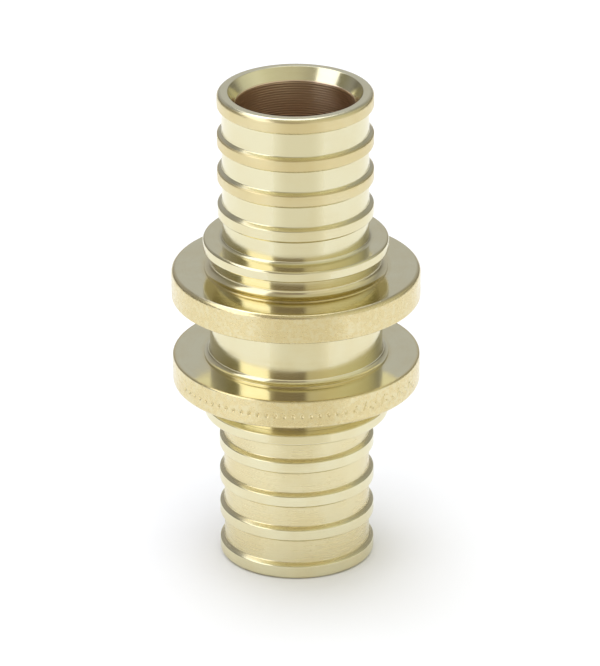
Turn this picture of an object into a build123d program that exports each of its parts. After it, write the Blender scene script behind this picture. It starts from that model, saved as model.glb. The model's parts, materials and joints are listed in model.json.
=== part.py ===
"""Straight brass coupling: a centre tube with two tool flanges, and a ribbed spigot and
stop collar at each end.

Frame: origin at the centre of the lower end face, +Z up the bore. Millimetres.
The coupling is the same above and below its middle plane, so every piece is drawn
with z measured from that plane and lifted by half the length at the end.
"""
from build123d import *
import math
import os

# Whole coupling
LENGTH = 80.0
BORE_R = 9.5

# Spigot mouth and end lip
MOUTH_R = 10.8
MOUTH_DEPTH = 2.1
END_ROUND = 0.75
LIP_WIDTH = 2.25

# Ribs: an end lip and three ribs, at one pitch
CREST_R = 12.5
GROOVE_R = 11.75
RIB_PITCH = 6.0
RIB_WIDTH = 1.7
RIB_COUNT = 3
RIB_FLANK = 0.45            # along the bore, from the crest down to the groove
FIRST_RIB = 19.3            # lower edge of the rib nearest the collar

# Stop collar at the foot of each spigot
COLLAR_R = 14.9
COLLAR_OUTER = 15.1         # face towards the pipe
COLLAR_INNER = 13.3         # face on the end of the centre tube
COLLAR_OUTER_CHAMFER = 0.4
COLLAR_INNER_CHAMFER = 0.25

# Root of the spigot: a cove down to a shoulder that is let into the collar
ROOT_COVE = 0.6
ROOT_SINK = 0.5

# Shank of the spigot, through the collar and into the centre tube
SHANK_R = 11.4
SHANK_END = 4.0

# Tool flanges
FLANGE_R = 20.0
FLANGE_INNER = 5.0          # face towards the neck
FLANGE_OUTER = 9.85         # face towards the pipe
FLANGE_OUTER_ROUND = 0.75
FLANGE_INNER_ROUND = 0.3

# Boss round the stub on a flange's outer face
BOSS_R = 14.7
BOSS_RIM = 0.15
BOSS_COVE = 1.4

# Centre tube: stubs outside the flanges, neck between them
STUB_R = 13.2
NECK_R = 13.9
SHOULDER_R = 14.85
SHOULDER_RIM = 0.25         # height of the shoulder's edge above the flange
SHOULDER_SINK = 0.25        # depth that the shoulder is let into the flange

HALF = LENGTH / 2


class Outline:
    """A closed outline in the radius and height plane, drawn point by point."""

    def __init__(self, radius, height):
        self.start = self.at = (radius, height)
        self.edges = []

    def line(self, radius, height):
        self.edges.append(Line(point(*self.at), point(radius, height)))
        self.at = (radius, height)

    def arc(self, radius, height, centre):
        """Quarter round from the current point, about a centre level with one of its ends."""
        size = math.dist(self.at, centre)
        middle = [(a + b) / 2 - c for a, b, c in zip(self.at, (radius, height), centre)]
        reach = size / math.hypot(*middle)
        through = [c + m * reach for c, m in zip(centre, middle)]
        self.edges.append(ThreePointArc(point(*self.at), point(*through), point(radius, height)))
        self.at = (radius, height)

    def turned(self):
        """Close the outline and turn it about the bore axis."""
        self.line(*self.start)
        face = make_face(Wire(self.edges))
        return revolve(face, axis=Axis.Z, revolution_arc=360)


def point(radius, height):
    return Vector(radius, 0, height)


def spigot():
    """Ribbed spigot, and the shank that passes through the collar into the centre tube."""
    root_r = GROOVE_R + ROOT_COVE
    cove_top = COLLAR_OUTER + ROOT_COVE

    outline = Outline(BORE_R, SHANK_END)
    outline.line(SHANK_R, SHANK_END)
    outline.line(SHANK_R, COLLAR_OUTER - ROOT_SINK)
    outline.line(root_r, COLLAR_OUTER - ROOT_SINK)
    outline.line(root_r, COLLAR_OUTER)
    outline.arc(GROOVE_R, cove_top, (root_r, cove_top))

    for rib in range(RIB_COUNT):
        foot = FIRST_RIB + rib * RIB_PITCH
        outline.line(GROOVE_R, foot - RIB_FLANK)
        outline.line(CREST_R, foot)
        outline.line(CREST_R, foot + RIB_WIDTH)
        outline.line(GROOVE_R, foot + RIB_WIDTH + RIB_FLANK)

    lip = HALF - LIP_WIDTH
    outline.line(GROOVE_R, lip - RIB_FLANK)
    outline.line(CREST_R, lip)
    outline.line(CREST_R, HALF - END_ROUND)
    outline.arc(CREST_R - END_ROUND, HALF, (CREST_R - END_ROUND, HALF - END_ROUND))

    outline.line(MOUTH_R, HALF)
    outline.line(BORE_R, HALF - MOUTH_DEPTH)
    return outline.turned()


def collar():
    """Stop collar, a thin ring held between the spigot's root and the end of the centre tube."""
    root_r = GROOVE_R + ROOT_COVE

    outline = Outline(SHANK_R, COLLAR_INNER)
    outline.line(COLLAR_R - COLLAR_INNER_CHAMFER, COLLAR_INNER)
    outline.line(COLLAR_R, COLLAR_INNER + COLLAR_INNER_CHAMFER)
    outline.line(COLLAR_R, COLLAR_OUTER - COLLAR_OUTER_CHAMFER)
    outline.line(COLLAR_R - COLLAR_OUTER_CHAMFER, COLLAR_OUTER)
    outline.line(root_r, COLLAR_OUTER)
    outline.line(root_r, COLLAR_OUTER - ROOT_SINK)
    outline.line(SHANK_R, COLLAR_OUTER - ROOT_SINK)
    return outline.turned()


def flange():
    """Flange ring, with the boss that stands round the stub on its outer face."""
    inner_edge = FLANGE_R - FLANGE_INNER_ROUND
    outer_edge = FLANGE_R - FLANGE_OUTER_ROUND
    rim_start = FLANGE_INNER + FLANGE_INNER_ROUND
    rim_end = FLANGE_OUTER - FLANGE_OUTER_ROUND
    boss_rim = FLANGE_OUTER + BOSS_RIM

    outline = Outline(STUB_R, FLANGE_INNER + SHOULDER_SINK)
    outline.line(SHOULDER_R, FLANGE_INNER + SHOULDER_SINK)
    outline.line(SHOULDER_R, FLANGE_INNER)
    outline.line(inner_edge, FLANGE_INNER)
    outline.arc(FLANGE_R, rim_start, (inner_edge, rim_start))
    outline.line(FLANGE_R, rim_end)
    outline.arc(outer_edge, FLANGE_OUTER, (outer_edge, rim_end))

    outline.line(BOSS_R, FLANGE_OUTER)
    outline.line(BOSS_R, boss_rim)
    outline.arc(BOSS_R - BOSS_COVE, boss_rim + BOSS_COVE, (BOSS_R, boss_rim + BOSS_COVE))
    outline.line(STUB_R, boss_rim + BOSS_COVE)
    return outline.turned()


def centre_tube():
    """Neck with a coved shoulder at each end, flange seats, stubs, and an inner land between the shanks."""
    cove = SHOULDER_R - NECK_R
    seat = FLANGE_INNER + SHOULDER_SINK
    rim = FLANGE_INNER - SHOULDER_RIM
    cove_end = rim - cove

    outline = Outline(BORE_R, -SHANK_END)
    outline.line(SHANK_R, -SHANK_END)
    outline.line(SHANK_R, -COLLAR_INNER)
    outline.line(STUB_R, -COLLAR_INNER)
    outline.line(STUB_R, -seat)
    outline.line(SHOULDER_R, -seat)
    outline.line(SHOULDER_R, -rim)
    outline.arc(NECK_R, -cove_end, (SHOULDER_R, -cove_end))

    outline.line(NECK_R, cove_end)
    outline.arc(SHOULDER_R, rim, (SHOULDER_R, cove_end))
    outline.line(SHOULDER_R, seat)
    outline.line(STUB_R, seat)
    outline.line(STUB_R, COLLAR_INNER)
    outline.line(SHANK_R, COLLAR_INNER)
    outline.line(SHANK_R, SHANK_END)
    outline.line(BORE_R, SHANK_END)
    return outline.turned()


def below(piece):
    """The same piece on the other side of the middle plane."""
    return mirror(piece, about=Plane.XY)


pieces = {
    "centre_tube": centre_tube(),
    "upper_flange": flange(),
    "lower_flange": below(flange()),
    "upper_stop_collar": collar(),
    "lower_stop_collar": below(collar()),
    "upper_spigot": spigot(),
    "lower_spigot": below(spigot()),
}

os.makedirs("parts", exist_ok=True)
for name, piece in pieces.items():
    export_step(Pos(0, 0, HALF) * piece, f"parts/{name}.step")
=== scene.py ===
"""Straight brass coupling with two ribbed spigots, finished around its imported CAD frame.

Lengths are in millimetres until a mesh is made, and metres after that. Every piece is turned
about the bore, which is the Z axis, from a profile measured from the coupling's middle plane.
"""

import json
import math

import bpy
import numpy as np
from mathutils import Matrix, Vector

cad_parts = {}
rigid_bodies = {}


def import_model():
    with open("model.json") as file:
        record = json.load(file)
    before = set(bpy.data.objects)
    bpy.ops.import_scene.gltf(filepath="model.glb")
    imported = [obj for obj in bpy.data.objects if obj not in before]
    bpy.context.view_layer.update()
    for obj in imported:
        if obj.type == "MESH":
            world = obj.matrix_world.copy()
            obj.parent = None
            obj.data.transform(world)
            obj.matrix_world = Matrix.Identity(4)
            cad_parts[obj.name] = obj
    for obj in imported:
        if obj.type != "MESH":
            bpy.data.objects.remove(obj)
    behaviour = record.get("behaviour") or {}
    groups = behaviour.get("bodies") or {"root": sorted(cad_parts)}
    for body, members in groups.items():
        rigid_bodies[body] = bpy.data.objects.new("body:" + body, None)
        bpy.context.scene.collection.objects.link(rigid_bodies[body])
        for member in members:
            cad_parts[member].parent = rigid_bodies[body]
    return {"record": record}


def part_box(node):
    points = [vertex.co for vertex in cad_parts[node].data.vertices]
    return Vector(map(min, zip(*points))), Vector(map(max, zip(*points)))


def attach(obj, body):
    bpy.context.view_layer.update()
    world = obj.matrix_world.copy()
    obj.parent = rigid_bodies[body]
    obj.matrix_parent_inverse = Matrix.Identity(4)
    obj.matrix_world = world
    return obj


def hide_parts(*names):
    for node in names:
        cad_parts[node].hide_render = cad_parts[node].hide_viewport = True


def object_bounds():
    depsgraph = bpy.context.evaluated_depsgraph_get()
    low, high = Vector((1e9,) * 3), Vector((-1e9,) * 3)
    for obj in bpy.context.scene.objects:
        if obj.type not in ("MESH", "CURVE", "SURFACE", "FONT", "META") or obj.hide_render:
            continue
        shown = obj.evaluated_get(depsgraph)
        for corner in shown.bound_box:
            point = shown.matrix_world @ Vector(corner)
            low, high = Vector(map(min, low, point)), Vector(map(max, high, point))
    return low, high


MM = 0.001

for startup_object in list(bpy.data.objects):
    bpy.data.objects.remove(startup_object)
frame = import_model()
cad_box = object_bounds()


# ---------------------------------------------------------------- sizes from the frame

HALF = (cad_box[1].z - cad_box[0].z) / 2 / MM
MIDDLE = (cad_box[1].z + cad_box[0].z) / 2 / MM


def reach(node):
    """Outer radius of a CAD node, and its lowest and highest point above the middle plane."""
    low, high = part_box(node)
    return high.x / MM, low.z / MM - MIDDLE, high.z / MM - MIDDLE


FLANGE_R, FLANGE_IN, BOSS_TOP = reach("upper_flange")
COLLAR_R, COLLAR_IN, COLLAR_OUT = reach("upper_stop_collar")
CREST_R, SHANK_END, _ = reach("upper_spigot")
SHOULDER_R, _, TUBE_END = reach("centre_tube")
BORE_R = frame["record"]["mounts"][0]["dims"]["r_mm"]

# The rest repeats the CAD's driving dimensions.
FLANGE_OUT = 9.85
STUB_R = 13.2
NECK_R = 13.9
BOSS_R = 14.7
BOSS_RIM = 0.15
BOSS_COVE = 1.4
SHOULDER_RIM = 0.25
SHOULDER_SINK = 0.25
SHANK_R = 11.4
ROOT_R = 12.35
ROOT_SINK = 0.5
ROOT_COVE = 0.6
GROOVE_R = 11.75
RIB_PITCH = 6.0
RIB_WIDTH = 1.7
RIB_FLANK = 0.45
RIB_COUNT = 3
FIRST_RIB = 19.3
LIP_WIDTH = 2.25
MOUTH_R = 10.8
MOUTH_DEPTH = 2.1
END_ROUND = 0.75

# Edges of the finished pieces
HAIRLINE = 0.015            # where two pieces meet
SEAM_EDGE = 0.05
CREST_EDGE = 0.2
GROOVE_CORNER = 0.2
MOUTH_EDGE = 0.15
COLLAR_OUTER_EDGE = 0.4
COLLAR_INNER_EDGE = 0.25
FLANGE_INNER_EDGE = 0.3
FLANGE_OUTER_EDGE = 0.75

# Degrees of turn in each step of a rounded corner
ARC_STEP = 9.0
HAIRLINE_STEP = 45.0


# ---------------------------------------------------------------- profiles

def rounded(corners):
    """Samples a closed outline whose corners are (radius, height, rounding).

    Returns the points and the outward normals. The outline runs anticlockwise, with the radius
    to the right and the height upwards, so that the normal is on the right of the way along.
    """
    points, normals = [], []
    count = len(corners)
    for i, (r, z, fillet) in enumerate(corners):
        here = Vector((r, z))
        way_in = (here - Vector(corners[i - 1][:2])).normalized()
        way_out = (Vector(corners[(i + 1) % count][:2]) - here).normalized()
        turn = math.atan2(way_in.cross(way_out), way_in.dot(way_out))
        setback = fillet * math.tan(abs(turn) / 2)
        arc_step = ARC_STEP if fillet > SEAM_EDGE else HAIRLINE_STEP
        steps = max(1, math.ceil(abs(math.degrees(turn)) / arc_step))
        side = Vector((-way_in.y, way_in.x)) * math.copysign(1, turn)
        centre = here - way_in * setback + side * fillet
        for step in range(steps + 1):
            angle = turn * step / steps
            across = Vector((way_in.y, -way_in.x))
            normal = Vector((across.x * math.cos(angle) - across.y * math.sin(angle),
                             across.x * math.sin(angle) + across.y * math.cos(angle)))
            points.append(centre + normal * fillet * math.copysign(1, turn))
            normals.append(normal)
    return np.array(points), np.array(normals)


def outline(corners):
    """Samples an outline whose corners have a hairline rounding where none is given."""
    return rounded([corner if len(corner) == 3 else (*corner, HAIRLINE) for corner in corners])


def spigot_profile():
    lip = HALF - LIP_WIDTH
    corners = [(BORE_R, SHANK_END), (SHANK_R, SHANK_END), (SHANK_R, COLLAR_OUT - ROOT_SINK),
               (ROOT_R, COLLAR_OUT - ROOT_SINK), (ROOT_R, COLLAR_OUT),
               (GROOVE_R, COLLAR_OUT, ROOT_COVE - 2 * HAIRLINE)]
    for rib in range(RIB_COUNT):
        foot = FIRST_RIB + rib * RIB_PITCH
        top = foot + RIB_WIDTH
        corners += [(GROOVE_R, foot - RIB_FLANK, GROOVE_CORNER), (CREST_R, foot, CREST_EDGE),
                    (CREST_R, top, CREST_EDGE), (GROOVE_R, top + RIB_FLANK, GROOVE_CORNER)]
    corners += [(GROOVE_R, lip - RIB_FLANK, GROOVE_CORNER), (CREST_R, lip, CREST_EDGE),
                (CREST_R, HALF, END_ROUND), (MOUTH_R, HALF, MOUTH_EDGE),
                (BORE_R, HALF - MOUTH_DEPTH, SEAM_EDGE)]
    return outline(corners)


def collar_profile():
    return outline([
        (SHANK_R, COLLAR_IN), (COLLAR_R, COLLAR_IN, COLLAR_INNER_EDGE),
        (COLLAR_R, COLLAR_OUT, COLLAR_OUTER_EDGE), (ROOT_R, COLLAR_OUT),
        (ROOT_R, COLLAR_OUT - ROOT_SINK), (SHANK_R, COLLAR_OUT - ROOT_SINK)])


def flange_profile(rim_r):
    """Flange with its boss. rim_r is the radius of the rim, less anything that stands out of it."""
    seat = FLANGE_IN + SHOULDER_SINK
    foot = FLANGE_OUT + BOSS_RIM
    cove_r = BOSS_R - BOSS_COVE
    return outline([
        (STUB_R, seat), (SHOULDER_R, seat), (SHOULDER_R, FLANGE_IN),
        (rim_r, FLANGE_IN, FLANGE_INNER_EDGE), (rim_r, FLANGE_OUT, FLANGE_OUTER_EDGE),
        (BOSS_R, FLANGE_OUT), (BOSS_R, foot, SEAM_EDGE), (cove_r, foot, BOSS_COVE - 3 * HAIRLINE),
        (cove_r, BOSS_TOP), (STUB_R, BOSS_TOP)])


def centre_profile():
    seat = FLANGE_IN + SHOULDER_SINK
    rim = FLANGE_IN - SHOULDER_RIM
    cove = SHOULDER_R - NECK_R - 3 * HAIRLINE
    above = [(NECK_R, rim, cove), (SHOULDER_R, rim, SEAM_EDGE), (SHOULDER_R, seat), (STUB_R, seat),
             (STUB_R, TUBE_END, SEAM_EDGE), (SHANK_R, TUBE_END), (SHANK_R, SHANK_END), (BORE_R, SHANK_END)]
    below = [(corner[0], -corner[1], *corner[2:]) for corner in reversed(above)]
    return outline(below + above)


# ---------------------------------------------------------------- meshes

def add_rows(points, normals, low, high, step):
    """Adds rows to the straight stretches of a profile between two heights, for relief to move."""
    out_points, out_normals = [], []
    count = len(points)
    for i in range(count):
        a, b = points[i], points[(i + 1) % count]
        out_points.append(a)
        out_normals.append(normals[i])
        inside = low <= min(a[1], b[1]) and max(a[1], b[1]) <= high
        rows = math.ceil(np.linalg.norm(b - a) / step) if inside else 1
        for row in range(1, rows):
            t = row / rows
            out_points.append(a * (1 - t) + b * t)
            out_normals.append(normals[i])
    return np.array(out_points), np.array(out_normals)


def turned(name, profile, angles, below=False, relief=None):
    """Turns a profile about the bore into a closed mesh with exact normals.

    angles are in degrees from the front, anticlockwise from above. relief, a function of angle,
    height and radius, says how far the skin stands out of the profile, in millimetres. below turns
    the piece upside down, for the coupling's lower half.
    """
    points, normals = profile
    turn = np.radians(np.asarray(angles) - 90)[:, None]
    radius = np.broadcast_to(points[:, 0], (len(turn), len(points))).copy()
    height = np.broadcast_to(points[:, 1], radius.shape)
    if relief:
        radius += relief(np.degrees(turn) + 90, height, radius)
    grid = np.stack([radius * np.cos(turn), radius * np.sin(turn), height], axis=-1)
    skin_normals = np.stack([normals[:, 0] * np.cos(turn), normals[:, 0] * np.sin(turn),
                             np.broadcast_to(normals[:, 1], radius.shape)], axis=-1)
    if relief:
        around = np.roll(grid, -1, 0) - np.roll(grid, 1, 0)
        along = np.roll(grid, -1, 1) - np.roll(grid, 1, 1)
        measured = np.cross(around, along)
        measured /= np.linalg.norm(measured, axis=-1, keepdims=True)
        moved = np.abs(radius - points[:, 0]) > RELIEF_NOTICED
        skin_normals[moved] = measured[moved]
    if below:
        grid[..., 2] *= -1
        skin_normals[..., 2] *= -1
    grid[..., 2] += MIDDLE

    rows = len(points)
    index = np.arange(len(turn) * rows).reshape(len(turn), rows)
    right, up = np.roll(index, -1, 0), np.roll(index, -1, 1)
    quads = np.stack([index, right, np.roll(right, -1, 1), up], axis=-1).reshape(-1, 4)
    if below:
        quads = quads[:, ::-1]
    mesh = bpy.data.meshes.new(name)
    mesh.from_pydata((grid.reshape(-1, 3) * MM).tolist(), [], quads.tolist())
    mesh.polygons.foreach_set("use_smooth", [True] * len(mesh.polygons))
    mesh.normals_split_custom_set_from_vertices(skin_normals.reshape(-1, 3).tolist())
    piece = bpy.data.objects.new(name, mesh)
    bpy.context.scene.collection.objects.link(piece)
    return piece


# ---------------------------------------------------------------- marks on the lower flange's rim

# Pitches and first places are in degrees of turn, and the bars lean in radians.
MARK_HEIGHT = 0.1           # the raised marks reach the flange's full radius, and the rim is this much less
MARK_LINE = 7.6             # how far the marks lie below the middle plane
DENTS = 23
DENT_PITCH = 4.1
FIRST_DENT = -63.0
DENT_DEPTH = 0.23
DENT_HALF = (0.2, 0.28)     # half width and half height
LAST_FULL_DENT = 18         # the dents fade after this one
DENT_FADE = 0.55
BARS = 12
BAR_PITCH = 3.5
FIRST_BAR = 30.0
BAR_WIDTH = 0.5
BAR_LEANS = (0.55, -0.35, 0.9)
BAR_HALF_LENGTHS = (0.85, 0.6, 0.35, 0.7)
BAR_LIFTS = (0.15, -0.3, 0.35)
BAR_SLOPE = 1.6             # how steeply a bar's sides rise to its flat top
RIM_TOLERANCE = 0.001       # the marks are kept to points this close to the rim's radius
RELIEF_NOTICED = 1e-6       # normals are measured anew where relief moves the skin more than this


def rim_marks(angle, height, radius):
    """Row of small dents, then a band of plain raised bars that lean to and fro."""
    across = np.radians(1) * FLANGE_R
    lift = np.zeros_like(height)
    for dent in range(DENTS):
        fade = 1 - DENT_FADE * max(0, dent - LAST_FULL_DENT) / (DENTS - LAST_FULL_DENT)
        x = (angle - FIRST_DENT - dent * DENT_PITCH) * across / DENT_HALF[0]
        y = (height - MARK_LINE) / DENT_HALF[1]
        lift = lift - DENT_DEPTH * fade * np.exp(-(x ** 2 + y ** 2))
    for bar in range(BARS):
        lean = BAR_LEANS[bar % 3]
        half_length = BAR_HALF_LENGTHS[bar % 4]
        x = (angle - FIRST_BAR - bar * BAR_PITCH) * across
        y = height - MARK_LINE - BAR_LIFTS[bar % 3]
        along = np.clip(x * math.sin(lean) + y * math.cos(lean), -half_length, half_length)
        away = np.hypot(x - along * math.sin(lean), y - along * math.cos(lean))
        rise = BAR_SLOPE * (1 - away / (BAR_WIDTH / 2))
        lift = lift + MARK_HEIGHT * np.clip(rise, 0, 1) ** 2
    on_rim = radius > FLANGE_R - MARK_HEIGHT - RIM_TOLERANCE
    return np.where(on_rim, np.minimum(lift, MARK_HEIGHT), 0)


# ---------------------------------------------------------------- pieces

SEGMENT = 1.5               # degrees of turn in each step round a piece
FINE_SEGMENT = 0.25         # the same, along the marked stretch of the rim
FINE_ROW = 0.1
MARKED = (-69.0, 75.0)      # the marked stretch, in degrees from the front

plain_turn = np.arange(-180, 180, SEGMENT)
marked_turn = np.concatenate([np.arange(-180, MARKED[0], SEGMENT), np.arange(*MARKED, FINE_SEGMENT),
                              np.arange(MARKED[1], 180, SEGMENT)])
marked_profile = add_rows(*flange_profile(FLANGE_R - MARK_HEIGHT), FLANGE_IN + FLANGE_INNER_EDGE / 2,
                          FLANGE_OUT - FLANGE_OUTER_EDGE / 2, FINE_ROW)

pieces = {
    "centre_tube": turned("centre_tube_finished", centre_profile(), plain_turn),
    "upper_flange": turned("upper_flange_finished", flange_profile(FLANGE_R), plain_turn),
    "lower_flange": turned("lower_flange_finished", marked_profile, marked_turn, below=True,
                           relief=rim_marks),
}
for end in ("upper", "lower"):
    for kind, profile in (("stop_collar", collar_profile()), ("spigot", spigot_profile())):
        node = f"{end}_{kind}"
        pieces[node] = turned(f"{node}_finished", profile, plain_turn, below=end == "lower")

for node, piece in pieces.items():
    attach(piece, "root")
    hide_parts(node)


# ---------------------------------------------------------------- brass

def add(tree, kind, inputs=(), **settings):
    """Adds a shader node, sets or links its inputs, and returns its first output."""
    new = tree.nodes.new("ShaderNode" + kind)
    for key, value in settings.items():
        setattr(new, key, value)
    for key, value in dict(inputs).items():
        if isinstance(value, bpy.types.NodeSocket):
            tree.links.new(value, new.inputs[key])
        else:
            new.inputs[key].default_value = value
    return new.outputs[0]


def calc(tree, operation, *values):
    return add(tree, "Math", dict(enumerate(values)), operation=operation)


def ease(tree, value, low, high, to_low=0.0, to_high=1.0):
    return add(tree, "MapRange", {"Value": value, "From Min": low, "From Max": high,
                                  "To Min": to_low, "To Max": to_high}, interpolation_type="SMOOTHSTEP")


def blend(tree, factor, a, b):
    mix = tree.nodes.new("ShaderNodeMix")
    mix.data_type = "RGBA"
    for socket, value in ((mix.inputs[0], factor), (mix.inputs[6], a), (mix.inputs[7], b)):
        if isinstance(value, bpy.types.NodeSocket):
            tree.links.new(value, socket)
        else:
            socket.default_value = value
    return mix.outputs[2]


def place_on_piece(tree):
    """Where a point is, in millimetres: its place, its distance from the bore's axis and its height."""
    metres = tree.nodes.new("ShaderNodeTexCoord").outputs["Object"]
    place = add(tree, "VectorMath", {0: metres, "Scale": 1 / MM}, operation="SCALE")
    length = tree.nodes.new("ShaderNodeVectorMath")
    length.operation = "LENGTH"
    tree.links.new(add(tree, "VectorMath", {0: place, 1: (1, 1, 0)}, operation="MULTIPLY"), length.inputs[0])
    split = tree.nodes.new("ShaderNodeSeparateXYZ")
    tree.links.new(place, split.inputs[0])
    return place, length.outputs["Value"], split.outputs["Z"]


PALE = (0.76, 0.71, 0.48, 1)
GOLD = (0.72, 0.61, 0.335, 1)
BORE = (0.76, 0.59, 0.43, 1)

# Radii between which the bore's wall gives way to the outside, and the flanges' faces to their rims
BORE_FADE = (9.56, 9.66)
RIM_FADE = (19.78, 19.88)

# Depths of the relief, in millimetres
LINE_DEPTH = 0.0005
WAVE_DEPTH = 0.0012
THREAD_DEPTH = 0.028
LUMP_DEPTH = 0.015

ANISOTROPY = 0.5


def bump(tree, height, depth, normal):
    return add(tree, "Bump", {"Height": height, "Distance": depth * MM, "Strength": 1.0, "Normal": normal})


def brass(name, tone, roughness, skin=False):
    """Bare brass, turned about the bore.

    tone gives, from the tree, the radius and the height, how golden the metal is: 0 is pale and 1 is
    golden. skin adds the mottled forged skin of the flanges' rims.
    """
    material = bpy.data.materials.new(name)
    material.use_nodes = True
    tree = material.node_tree
    shader = tree.nodes["Principled BSDF"]

    place, radius, height = place_on_piece(tree)

    # Turning marks: noise of the radius and height, which drifts a little round the piece.
    ring = add(tree, "CombineXYZ", {"X": radius, "Y": height, "Z": 0.0})
    drift = add(tree, "VectorMath", {0: place, "Scale": 0.012}, operation="SCALE")
    ring = add(tree, "VectorMath", {0: ring, 1: drift}, operation="ADD")
    lines = add(tree, "TexNoise", {"Vector": ring, "Scale": 3.2, "Detail": 4.0, "Roughness": 0.65})
    waves = add(tree, "TexNoise", {"Vector": ring, "Scale": 0.9, "Detail": 1.0})
    stain = add(tree, "TexNoise", {"Vector": place, "Scale": 0.16, "Detail": 4.0, "Roughness": 0.6})
    bore = ease(tree, radius, *BORE_FADE, 1.0, 0.0)
    own_tone = tone(tree, radius, height)

    if skin:
        on_rim = ease(tree, radius, *RIM_FADE)
        lumps = add(tree, "TexNoise", {"Vector": place, "Scale": 1.3, "Detail": 2.0, "Roughness": 0.55})
        blotches = calc(tree, "MULTIPLY", ease(tree, lumps, 0.3, 0.7, -0.3, 0.3), on_rim)
        own_tone = calc(tree, "ADD", own_tone, blotches)
    golden = calc(tree, "ADD", own_tone, ease(tree, stain, 0.3, 0.7, -0.18, 0.18))
    golden = calc(tree, "ADD", golden, ease(tree, lines, 0.3, 0.7, -0.05, 0.05))
    colour = blend(tree, golden, PALE, GOLD)
    colour = blend(tree, bore, colour, BORE)
    tree.links.new(colour, shader.inputs["Base Color"])

    rough = calc(tree, "ADD", roughness, ease(tree, stain, 0.3, 0.7, -0.02, 0.03))
    rough = calc(tree, "ADD", rough, ease(tree, lines, 0.3, 0.7, -0.02, 0.03))
    rough = calc(tree, "MULTIPLY_ADD", own_tone, 0.17, rough)
    rough = calc(tree, "MULTIPLY_ADD", bore, 0.15, rough)
    tree.links.new(rough, shader.inputs["Roughness"])

    threads = add(tree, "TexWave", {"Vector": ring, "Scale": 0.75, "Distortion": 0.6, "Detail": 1.0},
                  bands_direction="Y")
    relief = add(tree, "Bump", {"Height": lines, "Distance": LINE_DEPTH * MM, "Strength": 1.0})
    relief = bump(tree, waves, WAVE_DEPTH, relief)
    relief = bump(tree, calc(tree, "MULTIPLY", threads, bore), THREAD_DEPTH, relief)
    if skin:
        relief = bump(tree, calc(tree, "MULTIPLY", lumps, on_rim), LUMP_DEPTH, relief)
    tree.links.new(relief, shader.inputs["Normal"])

    shader.inputs["Metallic"].default_value = 1.0
    shader.inputs["Anisotropic"].default_value = ANISOTROPY
    shader.inputs["Anisotropic Rotation"].default_value = 0.25
    tree.links.new(add(tree, "Tangent", direction_type="RADIAL", axis="Z"), shader.inputs["Tangent"])
    return material


def upper_spigot_tone(tree, radius, height):
    """The lands are golden near the mouth, and the groove floors pale."""
    land = ease(tree, radius, 12.1, 12.4)
    return calc(tree, "MULTIPLY", land, ease(tree, height, 60.0, 68.0, 0.2, 0.95))


def lower_spigot_tone(tree, radius, height):
    """The groove floors are golden, and the lands pale."""
    return ease(tree, radius, 12.0, 12.4, 0.55, 0.15)


def even_tone(tree, radius, height):
    return 0.2


def flange_tone(tree, radius, height):
    """The forged rim is golden, the boss is half so, and the faces are pale."""
    boss = ease(tree, radius, 14.8, 15.6, 0.4, 0.0)
    return calc(tree, "ADD", ease(tree, radius, 19.2, 19.8, 0.1, 0.9), boss)


finishes = {
    "upper_spigot": brass("upper_spigot_brass", upper_spigot_tone, 0.16),
    "lower_spigot": brass("lower_spigot_brass", lower_spigot_tone, 0.16),
    "centre_tube": brass("centre_tube_brass", even_tone, 0.1),
    "stop_collar": brass("stop_collar_brass", even_tone, 0.1),
    "flange": brass("flange_brass", flange_tone, 0.09, skin=True),
}
for node, piece in pieces.items():
    kind = node if node in finishes else node.split("_", 1)[1]
    piece.data.materials.append(finishes[kind])


# ---------------------------------------------------------------- camera

def facing(azimuth, elevation):
    """Unit vector for degrees to the right of the front, and above the horizon."""
    a, e = math.radians(azimuth), math.radians(elevation)
    return Vector((math.sin(a) * math.cos(e), -math.cos(a) * math.cos(e), math.sin(e)))


VIEW_ELEVATION = 24.0
VIEW_DISTANCE = 0.9552
VIEW_ASIDE = 0.00061        # the coupling stands a little left of the middle
VIEW_BELOW = 0.0019         # and a little high
VIEW_ROLL = -0.2            # degrees
CENTRE = (cad_box[0] + cad_box[1]) / 2

camera = bpy.data.objects.new("camera", bpy.data.cameras.new("camera"))
bpy.context.scene.collection.objects.link(camera)
camera.data.lens = 320.64
camera.data.sensor_width = 36.0
camera.data.clip_start = 0.05
aim = Vector((VIEW_ASIDE, 0, CENTRE.z - VIEW_BELOW))
tilt = Matrix.Rotation(math.radians(90 - VIEW_ELEVATION), 4, "X")
roll = Matrix.Rotation(math.radians(VIEW_ROLL), 4, "Z")
camera.matrix_world = Matrix.Translation(aim + VIEW_DISTANCE * facing(0, VIEW_ELEVATION)) @ tilt @ roll
bpy.context.scene.camera = camera


# ---------------------------------------------------------------- studio

def panel(name, way, distance, size, radiance, along=(1, 0, 0), colour=(1.33, 1.37, 1.48), slide=0.0):
    """Rectangular light panel, which lies in a given way from the part, and faces it.

    size is its length and width. Its length is as near as may be to the way called along, in which
    it is then slid.
    """
    light = bpy.data.lights.new(name, "AREA")
    light.shape = "RECTANGLE"
    light.size, light.size_y = size
    light.energy = radiance * math.pi * size[0] * size[1]
    light.color = colour
    lamp = bpy.data.objects.new(name, light)
    bpy.context.scene.collection.objects.link(lamp)
    z = Vector(way).normalized()
    x = (Vector(along) - z * Vector(along).dot(z)).normalized()
    turn = Matrix((x, z.cross(x), z)).transposed().to_4x4()
    lamp.matrix_world = Matrix.Translation(CENTRE + distance * z + slide * x) @ turn
    return lamp


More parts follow.
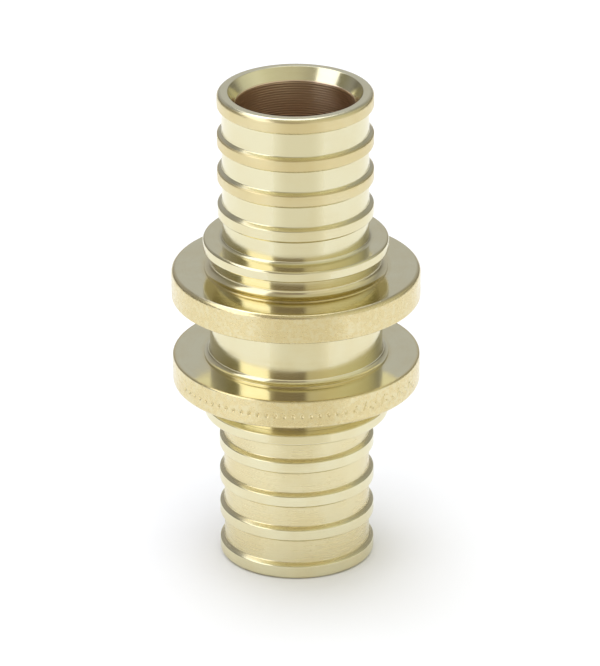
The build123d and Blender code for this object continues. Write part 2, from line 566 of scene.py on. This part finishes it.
# Panels that shine in the brass, and leave the floor alone
COOL_WHITE = (1.22, 1.25, 1.38)
SOFTBOX_WAY = (-0.755, -0.400, 0.521)
SOFTBOX_LENGTH_WAY = (0.118, 0.698, 0.707)
softbox = panel("softbox", SOFTBOX_WAY, 0.9, (2.74, 0.56), radiance=1.15, along=SOFTBOX_LENGTH_WAY,
                colour=COOL_WHITE, slide=0.70)
rim_light = panel("rim_light", (-0.05, 0.42, 0.90), 0.9, (0.5, 0.75), radiance=1.2, colour=COOL_WHITE)
for lamp in (softbox, rim_light):
    lamp.visible_diffuse = False

# Panels that light the floor, and don't show in the brass
overhead = panel("overhead", (-0.06, 0, 1), 1.2, (1.0, 1.0), radiance=1.98)
front_fill = panel("front_fill", facing(-15, 45), 1.3, (2.4, 1.2), radiance=0.49)
back_fill = panel("back_fill", facing(-165, 45), 1.3, (2.4, 1.2), radiance=0.72)
for lamp in (overhead, front_fill, back_fill):
    lamp.visible_glossy = False

# A glowing card over the floor in front, seen only in the brass, as a painted reflection of the floor.
# It is duller in the middle than at its sides: painted shade for a dimmer stretch of floor in front.
CARD_WHITE = (1.06, 1.06, 1.04, 1)
CARD_SHADE = (0.90, 0.88, 0.81, 1)
card_mesh = bpy.data.meshes.new("front_card")
card_corners = [(-0.42, -0.6, 0.12), (0.6, -0.6, 0.12), (0.04, -0.05, 0.001), (-0.03, -0.05, 0.001)]
card_mesh.from_pydata(card_corners, [], [(0, 1, 2, 3)])
card = bpy.data.objects.new("front_card", card_mesh)
bpy.context.scene.collection.objects.link(card)
card.visible_camera = card.visible_diffuse = card.visible_shadow = False

card_paint = bpy.data.materials.new("floor_reflection_card")
card_paint.use_nodes = True
tree = card_paint.node_tree
card_place = tree.nodes.new("ShaderNodeSeparateXYZ")
tree.links.new(tree.nodes.new("ShaderNodeTexCoord").outputs["Object"], card_place.inputs[0])
forward = calc(tree, "MULTIPLY", card_place.outputs["Y"], -1.0)
aside = calc(tree, "DIVIDE", card_place.outputs["X"], forward)
# Painted shade: the card's middle is dulled for a dimmer stretch of floor in front
painted_shade = calc(tree, "MULTIPLY", ease(tree, aside, -0.7, -0.2), ease(tree, aside, 0.4, 1.0, 1.0, 0.0))
glow = tree.nodes.new("ShaderNodeEmission")
tree.links.new(blend(tree, painted_shade, CARD_WHITE, CARD_SHADE), glow.inputs["Color"])
tree.links.new(glow.outputs[0], tree.nodes["Material Output"].inputs["Surface"])
card_mesh.materials.append(card_paint)

FLOOR_HALF = 4.0
FLOOR_GAP = 0.00002         # keeps the floor clear of the lower end's face
floor_mesh = bpy.data.meshes.new("floor")
floor_corners = [(x * FLOOR_HALF, y * FLOOR_HALF, 0) for x, y in ((-1, -1), (1, -1), (1, 1), (-1, 1))]
floor_mesh.from_pydata(floor_corners, [], [(0, 1, 2, 3)])
floor = bpy.data.objects.new("floor", floor_mesh)
bpy.context.scene.collection.objects.link(floor)
floor.location.z = cad_box[0].z - FLOOR_GAP
paper = bpy.data.materials.new("white_paper")
paper.use_nodes = True
paper_shader = paper.node_tree.nodes["Principled BSDF"]
paper_shader.inputs["Base Color"].default_value = (0.86, 0.86, 0.875, 1)
paper_shader.inputs["Roughness"].default_value = 0.9
paper_shader.inputs["Specular IOR Level"].default_value = 0.1
floor_mesh.materials.append(paper)

# The room round the coupling: radiance by degrees to the right of the front, at the horizon, low
# above it, and higher up. The dark brown stretch in front stands for the camera and whoever is
# behind it.
HORIZON_ROOM = {
    -180: (0.62, 0.63, 0.68), -160: (0.44, 0.44, 0.46), -145: (0.20, 0.19, 0.17), -110: (0.20, 0.19, 0.17),
    -88: (0.24, 0.23, 0.18), -78: (0.40, 0.40, 0.40), -30: (0.38, 0.35, 0.31), 4: (0.33, 0.30, 0.26),
    18: (0.62, 0.60, 0.52), 45: (0.76, 0.75, 0.63), 90: (0.76, 0.76, 0.62), 110: (0.24, 0.23, 0.20),
    145: (0.20, 0.19, 0.17), 160: (0.40, 0.40, 0.42), 180: (0.62, 0.63, 0.68),
}
LOW_ROOM = {
    -180: (0.58, 0.59, 0.63), -155: (0.44, 0.44, 0.48), -120: (0.34, 0.34, 0.35), -97: (0.27, 0.26, 0.20),
    -86: (0.28, 0.27, 0.21), -78: (0.42, 0.42, 0.42), -33: (0.46, 0.43, 0.40), -28: (0.31, 0.27, 0.24),
    10: (0.29, 0.25, 0.23), 16: (0.74, 0.71, 0.66), 45: (0.90, 0.88, 0.78), 80: (0.82, 0.82, 0.70),
    110: (0.66, 0.66, 0.56), 140: (0.36, 0.36, 0.35), 180: (0.58, 0.59, 0.63),
}
HIGH_ROOM = {
    -180: (0.33, 0.33, 0.36), -130: (0.34, 0.34, 0.36), -90: (0.44, 0.44, 0.38), -35: (0.48, 0.46, 0.38),
    0: (0.66, 0.64, 0.52), 30: (0.66, 0.64, 0.52), 70: (0.72, 0.71, 0.56), 110: (0.60, 0.60, 0.50),
    150: (0.36, 0.36, 0.34), 180: (0.33, 0.33, 0.36),
}
CEILING = (0.49, 0.46, 0.34, 1)


def room_ramp(tree, azimuth, stops):
    """The room's radiance at one height, from the azimuth as a share of a full turn."""
    ramp = tree.nodes.new("ShaderNodeValToRGB")
    tree.links.new(azimuth, ramp.inputs[0])
    elements = ramp.color_ramp.elements
    elements.remove(elements[1])
    for i, (degrees, colour) in enumerate(stops.items()):
        at = (degrees + 180) / 360
        element = elements[0] if i == 0 else elements.new(at)
        element.position = at
        element.color = (*colour, 1)
    return ramp.outputs[0]


world = bpy.data.worlds.new("room")
bpy.context.scene.world = world
world.use_nodes = True
tree = world.node_tree
way = tree.nodes.new("ShaderNodeSeparateXYZ")
tree.links.new(tree.nodes.new("ShaderNodeTexCoord").outputs["Generated"], way.inputs[0])

# Degrees above the horizon, and the azimuth as a share of a full turn from the back
turn = calc(tree, "ARCTAN2", way.outputs["X"], calc(tree, "MULTIPLY", way.outputs["Y"], -1.0))
azimuth = calc(tree, "MULTIPLY_ADD", turn, 1 / (2 * math.pi), 0.5)
rise = calc(tree, "MULTIPLY", calc(tree, "ARCSINE", way.outputs["Z"]), 180 / math.pi)
room = blend(tree, ease(tree, rise, 9.0, 16.0), room_ramp(tree, azimuth, HORIZON_ROOM),
             room_ramp(tree, azimuth, LOW_ROOM))
room = blend(tree, ease(tree, rise, 31.0, 36.0), room, room_ramp(tree, azimuth, HIGH_ROOM))
room = blend(tree, ease(tree, rise, 62.0, 85.0), room, CEILING)
tree.links.new(room, tree.nodes["Background"].inputs["Color"])

bpy.context.scene.view_settings.view_transform = "Standard"
